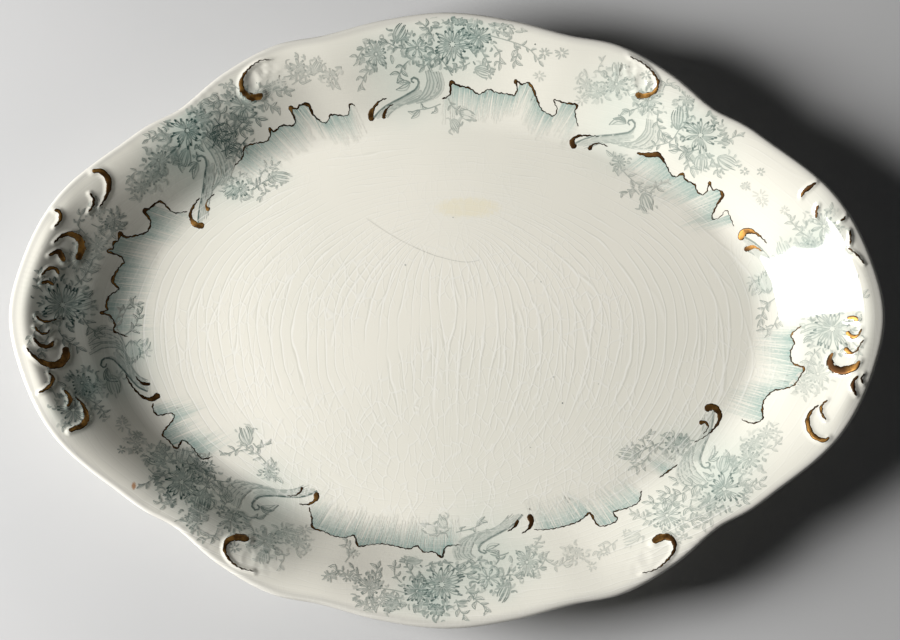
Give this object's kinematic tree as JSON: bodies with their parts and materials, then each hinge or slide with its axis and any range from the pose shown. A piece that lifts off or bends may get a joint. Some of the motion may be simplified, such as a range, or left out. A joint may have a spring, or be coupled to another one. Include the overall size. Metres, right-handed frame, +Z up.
{
  "type": "serving platter",
  "caption": "Oval earthenware serving platter with a lobed, moulded border, a flat well, a foot ring and gold strokes laid on the glaze.",
  "frame": {"origin": "middle of the plane that the foot ring stands on, under the middle of the platter", "axes": "+X along the length, +Y across the width to the back, +Z up"},
  "size_m": [0.356, 0.254, 0.035],
  "materials": {
    "glazed_body": "cream-white glossy glaze, crazed in the well, with a teal-grey floral print under it on the border",
    "gilding": "fired overglaze gold, bright and a little worn"
  },
  "bodies": {
    "root": {"platter_body": "glazed_body", "shoulder_scroll_gilding_back_left": "gilding", "shoulder_scroll_gilding_back_right": "gilding", "shoulder_scroll_gilding_front_left": "gilding", "shoulder_scroll_gilding_front_right": "gilding", "end_scroll_gilding_back_left": "gilding", "end_scroll_gilding_back_right": "gilding", "end_scroll_gilding_front_left": "gilding", "end_scroll_gilding_front_right": "gilding", "cartouche_gilding_left": "gilding", "cartouche_gilding_right": "gilding", "leaf_tip_gilding_1": "gilding", "leaf_tip_gilding_2": "gilding", "leaf_tip_gilding_3": "gilding", "leaf_tip_gilding_4": "gilding", "leaf_tip_gilding_5": "gilding", "leaf_tip_gilding_6": "gilding", "leaf_tip_gilding_7": "gilding", "leaf_tip_gilding_8": "gilding", "rocaille_line_gilding_1": "gilding", "rocaille_line_gilding_2": "gilding", "rocaille_line_gilding_3": "gilding", "rocaille_line_gilding_4": "gilding", "rocaille_line_gilding_5": "gilding", "rocaille_line_gilding_6": "gilding", "rocaille_line_gilding_7": "gilding", "rocaille_line_gilding_8": "gilding"}
  },
  "joints": []
}
